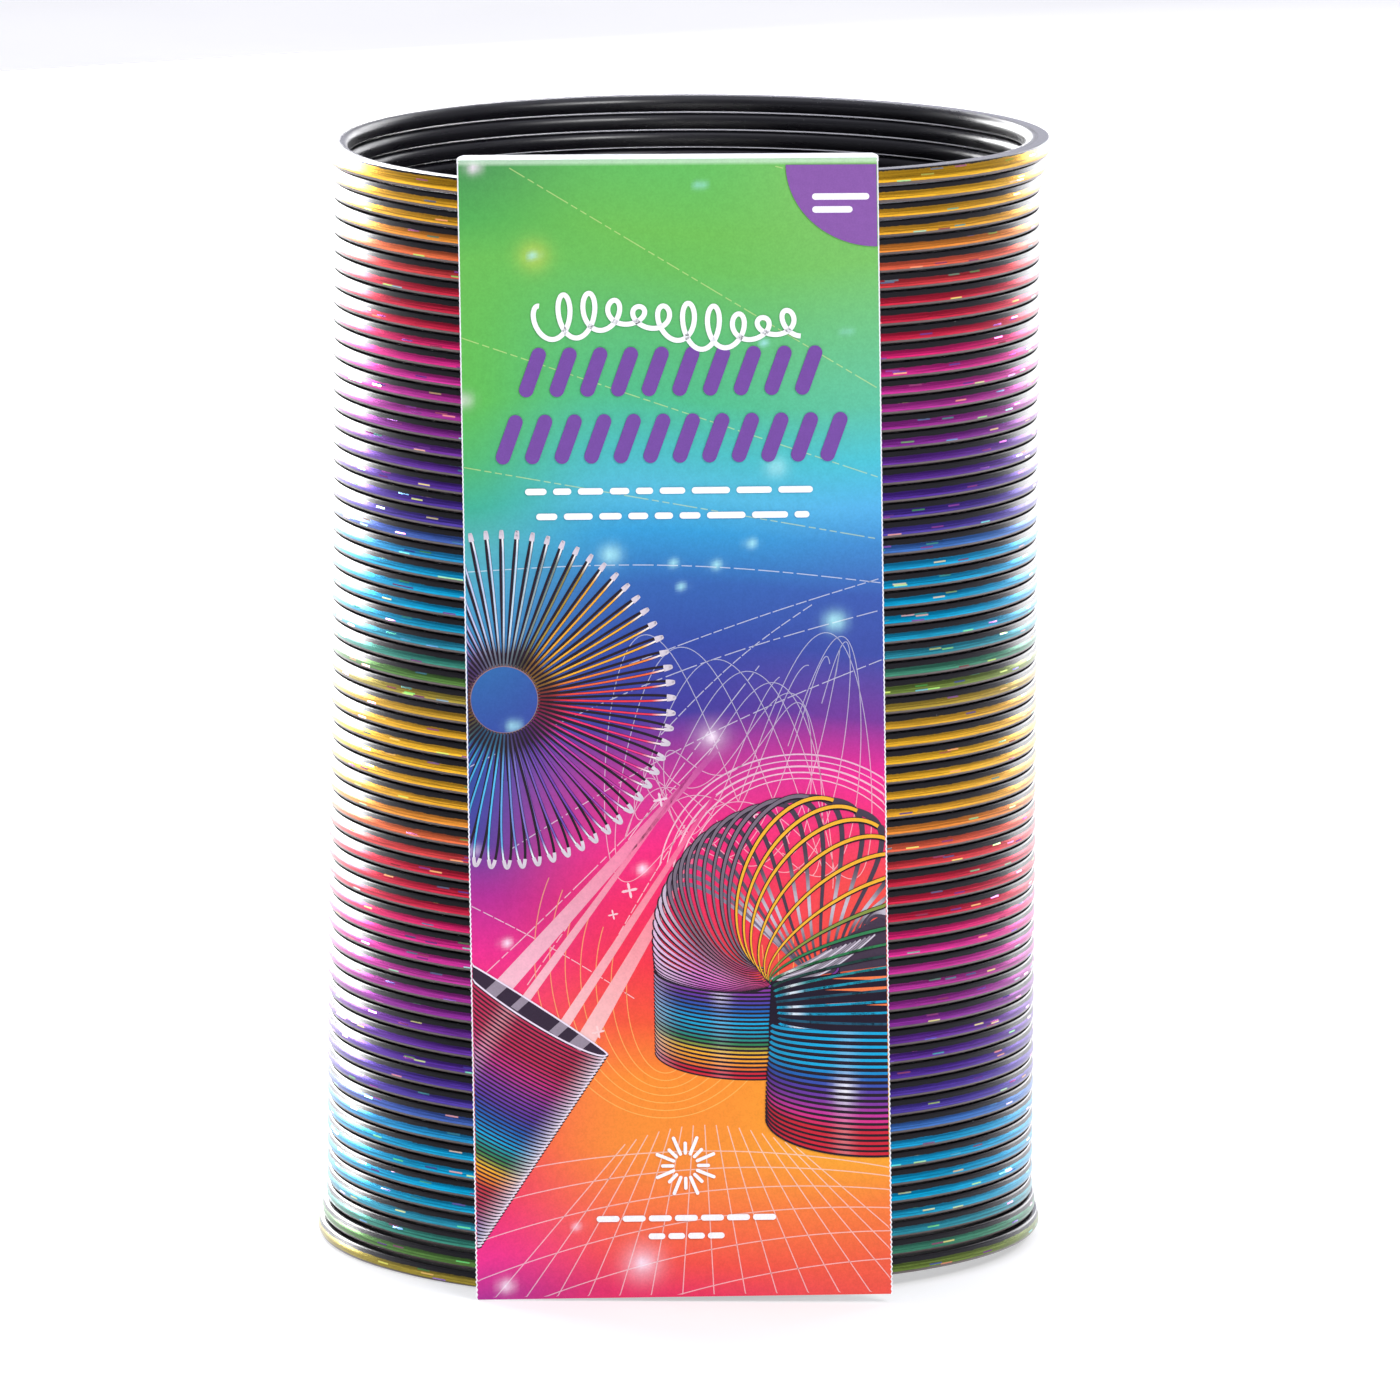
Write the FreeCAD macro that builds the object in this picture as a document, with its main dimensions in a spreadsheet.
"""Closed spring coil toy: one flat plastic strip wound into a left-handed helix, with a folded card hooked on it.

Frame: the coil's axis is Z, the surface that it stands on is z = 0, and the card is on the -Y side.
The strip's own places are counted in turns from its lower end. An azimuth is an angle about Z, in degrees from
+X, and it falls as the strip climbs. Lengths are in millimetres.

The strip is continuous on the real toy. Here its middle turns are divided into half-turn links, because the
toy moves by twisting the strip: each link turns against the next about a line along Y, at the strip's outer
edge. The splits are at azimuth 0 and azimuth 180 by turns.
"""
import FreeCAD, Part
import math
import os

import Sketcher

DIMENSIONS = [
    ("outer_radius", 47.5, "outside radius of the coil"),
    ("strip_width", 3.3, "radial width of the strip"),
    ("strip_height", 2.1, "height of the strip"),
    ("edge_bevel", 0.3, "bevel on the lower outer edge and the upper inner edge"),
    ("foil_top", 1.1, "height on the outer face where the foil ends and the dark slope begins"),
    ("top_inset", 0.25, "how far the dark slope leans in at the top"),
    ("turn_pitch", 2.345, "rise of the strip in one turn"),
    ("total_turns", 62.84, "turns from end to end"),
    ("end_azimuth", -122, "azimuth of the lower end"),
    ("flare", 1.25, "extra radius at either end of the strip"),
    ("flare_turns", 2.36, "turns over which the ends flare"),
    ("turns_below", 20, "whole turns under the links"),
    ("fan_turns", 24, "turns that are divided into links"),
    ("link_gap", 0.1, "gap between two links, along the strip"),
    ("land_depth", 0.25, "depth of the flat under the lowest turn"),
    ("card_width", 54.9, "width of the card"),
    ("card_height", 150.8, "height of the card's front panel"),
    ("card_thickness", 0.45, "thickness of the card"),
    ("card_gap", 1.1, "gap between the coil and the card's front panel"),
    ("card_fold", 0.8, "outside radius of the card's upper fold"),
    ("top_panel_depth", 11.8, "depth of the card's top panel"),
    ("top_panel_drop", 0.55, "how much lower the top panel is at its rear edge"),
    ("flap_overlap", 0.2, "how far below the panel's rear edge the flap's outline ends, inside the panel"),
    ("tuck_flap_drop", 40, "height of the flap inside the coil"),
    ("tuck_flap_width", 38, "width of the flap inside the coil"),
    ("card_tilt", 1.18, "lean of the card about the -Y axis, in degrees"),
    ("card_shift", -0.85, "sideways place of the middle of the card"),
    ("card_clearance", 0.05, "height of the card's lowest corner"),
]

doc = FreeCAD.newDocument("spring_coil_toy")
sheet = doc.addObject("Spreadsheet::Sheet", "Dims")
for row, (alias, value, meaning) in enumerate(DIMENSIONS, start=1):
    sheet.set(f"A{row}", str(value))
    sheet.setAlias(f"A{row}", alias)
    sheet.set(f"B{row}", meaning)
doc.recompute()
dims = {alias: float(sheet.get(alias)) for alias, _, _ in DIMENSIONS}

nodes = []


def azimuth(turns):
    return dims["end_azimuth"] - 360 * turns


def origin_plane(body, role):
    return [plane for plane in body.Origin.OriginFeatures if plane.Role == role][0]


def place_on_strip(body, turns):
    """Put a piece so that its own +X side begins at this place on the strip."""
    start = FreeCAD.Vector(0, 0, dims["turn_pitch"] * turns - dims["land_depth"])
    body.Placement = FreeCAD.Placement(start, FreeCAD.Rotation(FreeCAD.Vector(0, 0, 1), azimuth(turns)))


def outline_sketch(body, plane_role, corners):
    """Draw a closed outline. Each corner is a pair of expressions: its two distances from the sketch's origin."""
    sketch = body.newObject("Sketcher::SketchObject", body.Name + "_outline")
    sketch.AttachmentSupport = [(origin_plane(body, plane_role), "")]
    sketch.MapMode = "FlatFace"
    points = [FreeCAD.Vector(value_of(across), value_of(up), 0) for across, up in corners]
    count = len(points)
    for index in range(count):
        sketch.addGeometry(Part.LineSegment(points[index], points[(index + 1) % count]), False)
    for index in range(count):
        sketch.addConstraint(Sketcher.Constraint("Coincident", index, 2, (index + 1) % count, 1))
    for index, corner in enumerate(corners):
        for kind, expression in zip(("DistanceX", "DistanceY"), corner):
            if expression == "0":
                axis = -2 if kind == "DistanceX" else -1
                sketch.addConstraint(Sketcher.Constraint("PointOnObject", index, 1, axis))
                continue
            number = sketch.addConstraint(
                Sketcher.Constraint(kind, -1, 1, index, 1, value_of(expression))
            )
            sketch.setExpression(f"Constraints[{number}]", bound(expression))
    return sketch


def bound(expression):
    """The same expression with every dimension read from the sheet."""
    words = expression.split()
    return " ".join("Dims." + word if word in dims else word for word in words)


def value_of(expression):
    """The present value of a sum of dimensions and numbers, such as "outer_radius - strip_width"."""
    total = 0.0
    sign = 1
    for word in expression.split():
        if word in "+-":
            sign = 1 if word == "+" else -1
        else:
            total += sign * (dims[word] if word in dims else float(word))
    return total


STRIP_SECTION = [
    ("outer_radius - strip_width", "0"),
    ("outer_radius - edge_bevel", "0"),
    ("outer_radius", "edge_bevel"),
    ("outer_radius", "foil_top"),
    ("outer_radius - top_inset", "strip_height"),
    ("outer_radius - strip_width + edge_bevel", "strip_height"),
    ("outer_radius - strip_width", "strip_height - edge_bevel"),
]


def strip_body(label):
    """An empty piece of strip: its section on the +X side, and the helix that will carry it round."""
    body = doc.addObject("PartDesign::Body", label)
    body.Label = label
    section = outline_sketch(body, "XZ_Plane", STRIP_SECTION)
    helix = body.newObject("PartDesign::AdditiveHelix", label + "_helix")
    helix.Profile = section
    helix.ReferenceAxis = (section, ["V_Axis"])
    helix.LeftHanded = True
    return body, helix


def plain_turns(label, first_turn, last_turn, turns_expression):
    """A piece of the strip at its full, constant radius. The expression gives how many turns it has."""
    body, helix = strip_body(label)
    helix.Mode = "pitch-turns-angle"
    helix.setExpression("Pitch", bound("turn_pitch"))
    helix.setExpression("Turns", bound(turns_expression))
    place_on_strip(body, first_turn)
    nodes.append((body, last_turn - first_turn))
    return body


def flared_turns(label, start_turn, downward):
    """The turns at one end of the strip, which grow wider towards the end."""
    body, helix = strip_body(label)
    helix.Mode = "height-turns-growth"
    helix.setExpression("Turns", bound("flare_turns"))
    helix.setExpression("Height", bound("flare_turns * turn_pitch"))
    helix.setExpression("Growth", bound("flare / flare_turns"))
    helix.Reversed = downward
    place_on_strip(body, start_turn)
    return body


# Places along the strip, in turns from its lower end
gap_turns = dims["link_gap"] / (2 * math.pi * dims["outer_radius"])
GAP = "link_gap / ( 2 * pi * outer_radius )"
first_split = dims["turns_below"] + (360 + dims["end_azimuth"]) / 360
last_split = first_split + dims["fan_turns"] - 0.5
upper_flare_start = dims["total_turns"] - dims["flare_turns"]


def bottom_end_turns():
    """The lowest turns, flared, with a small flat underneath that stands on the table."""
    blank = flared_turns("bottom_end_blank", dims["flare_turns"], True)
    table = doc.addObject("Part::Box", "table_cutter")
    for side in ("Length", "Width"):
        table.setExpression(side, bound("4 * outer_radius"))
    table.setExpression("Height", bound("4 * strip_height"))
    table.Placement.Base = FreeCAD.Vector(
        -2 * dims["outer_radius"], -2 * dims["outer_radius"], -4 * dims["strip_height"]
    )
    ends = doc.addObject("Part::Cut", "bottom_end_turns")
    ends.Base = blank
    ends.Tool = table
    ends.Label = "bottom_end_turns"
    nodes.append((ends, dims["flare_turns"]))


def top_end_turns():
    """The highest turns, flared like the lowest."""
    body = flared_turns("top_end_turns", upper_flare_start, False)
    nodes.append((body, dims["flare_turns"]))


def bottom_stack():
    """Turns that always stay closed, under the links."""
    turns = f"turns_below + ( 360 + end_azimuth ) / 360 - flare_turns - 0.5 * {GAP}"
    plain_turns("bottom_stack", dims["flare_turns"], first_split - 0.5 * gap_turns, turns)


def top_stack():
    """Turns that always stay closed, over the links."""
    turns = (
        "total_turns - flare_turns - turns_below - ( 360 + end_azimuth ) / 360"
        f" - fan_turns + 0.5 - 0.5 * {GAP}"
    )
    plain_turns("top_stack", last_split + 0.5 * gap_turns, upper_flare_start, turns)


def links():
    """Half-turn links, front and back by turns, from the lowest split to the highest."""
    count = 2 * int(dims["fan_turns"]) - 1
    for number in range(1, count + 1):
        side = "front" if number % 2 else "back"
        start = first_split + 0.5 * (number - 1) + 0.5 * gap_turns
        finish = start + 0.5 - gap_turns
        plain_turns(f"coil_link_{number:02d}_{side}", start, finish, f"0.5 - {GAP}")


def card_sleeve():
    """A folded card: a panel in front of the coil, one that slopes over its rim and a flap that hangs inside."""
    body = doc.addObject("PartDesign::Body", "card_sleeve")
    body.Label = "card_sleeve"
    front = "0 - outer_radius - card_gap - card_thickness"
    front_inside = "0 - outer_radius - card_gap"
    back = "0 - outer_radius - card_gap - card_thickness + top_panel_depth"
    back_inside = "0 - outer_radius - card_gap - card_thickness - card_thickness + top_panel_depth"
    panels = [
        (front, "0"),
        (front_inside, "0"),
        (front_inside, "card_height - card_thickness"),
        (back, "card_height - card_thickness - top_panel_drop"),
        (back, "card_height - top_panel_drop"),
        (front, "card_height"),
    ]
    flap = [
        (back_inside, "card_height - top_panel_drop - tuck_flap_drop"),
        (back, "card_height - top_panel_drop - tuck_flap_drop"),
        (back, "card_height - top_panel_drop - flap_overlap"),
        (back_inside, "card_height - top_panel_drop - flap_overlap"),
    ]
    for name, outline, width in (("panels", panels, "card_width"), ("flap", flap, "tuck_flap_width")):
        pad = body.newObject("PartDesign::Pad", "card_" + name)
        pad.Profile = outline_sketch(body, "YZ_Plane", outline)
        pad.Midplane = True
        pad.setExpression("Length", bound(width))
    doc.recompute()
    fold = body.newObject("PartDesign::Fillet", "card_upper_fold")
    fold.Base = (pad, [edge_along_x(pad.Shape, value_of(front), dims["card_height"])])
    fold.setExpression("Radius", bound("card_fold"))

    tilt = math.radians(dims["card_tilt"])
    low_middle = FreeCAD.Vector(
        dims["card_shift"] + 0.5 * dims["card_height"] * math.sin(tilt),
        0,
        dims["card_clearance"] + 0.5 * dims["card_width"] * math.sin(tilt),
    )
    lean = FreeCAD.Rotation(FreeCAD.Vector(0, -1, 0), dims["card_tilt"])
    body.Placement = FreeCAD.Placement(low_middle, lean)
    nodes.append((body, None))


def edge_along_x(shape, y, z):
    """The name of the straight edge along X at this y and z."""
    for number, edge in enumerate(shape.Edges, start=1):
        ends = [vertex.Point for vertex in edge.Vertexes]
        on_line = all(abs(p.y - y) < 1e-6 and abs(p.z - z) < 1e-6 for p in ends)
        if on_line and len(ends) == 2:
            return f"Edge{number}"
    raise ValueError("no edge along X there")


def strip_section_area():
    """Area of the strip's section, by the shoelace rule."""
    corners = [(value_of(across), value_of(up)) for across, up in STRIP_SECTION]
    following = corners[1:] + corners[:1]
    return 0.5 * sum(a[0] * b[1] - b[0] * a[1] for a, b in zip(corners, following))


def check_and_write():
    """Stop on any failed feature, compare each piece of strip with its length times its section, and export."""
    for thing in doc.Objects:
        if "Invalid" in thing.State or "Error" in thing.State:
            raise RuntimeError(f"{thing.Name} failed: {thing.State}")
    area = strip_section_area()
    middle_radius = dims["outer_radius"] - 0.5 * dims["strip_width"]
    os.makedirs("parts", exist_ok=True)
    for node, turns in nodes:
        shape = node.Shape
        if shape.isNull() or not shape.isValid() or len(shape.Solids) != 1:
            raise RuntimeError(f"{node.Label} isn't one valid solid")
        if turns is not None:
            expected = area * turns * 2 * math.pi * middle_radius
            if abs(shape.Volume / expected - 1) > 0.03:
                raise RuntimeError(f"{node.Label} has volume {shape.Volume:.0f}, not {expected:.0f}")
        shape.exportStep(f"parts/{node.Label}.step")


bottom_end_turns()
bottom_stack()
links()
top_stack()
top_end_turns()
card_sleeve()
doc.recompute()
check_and_write()
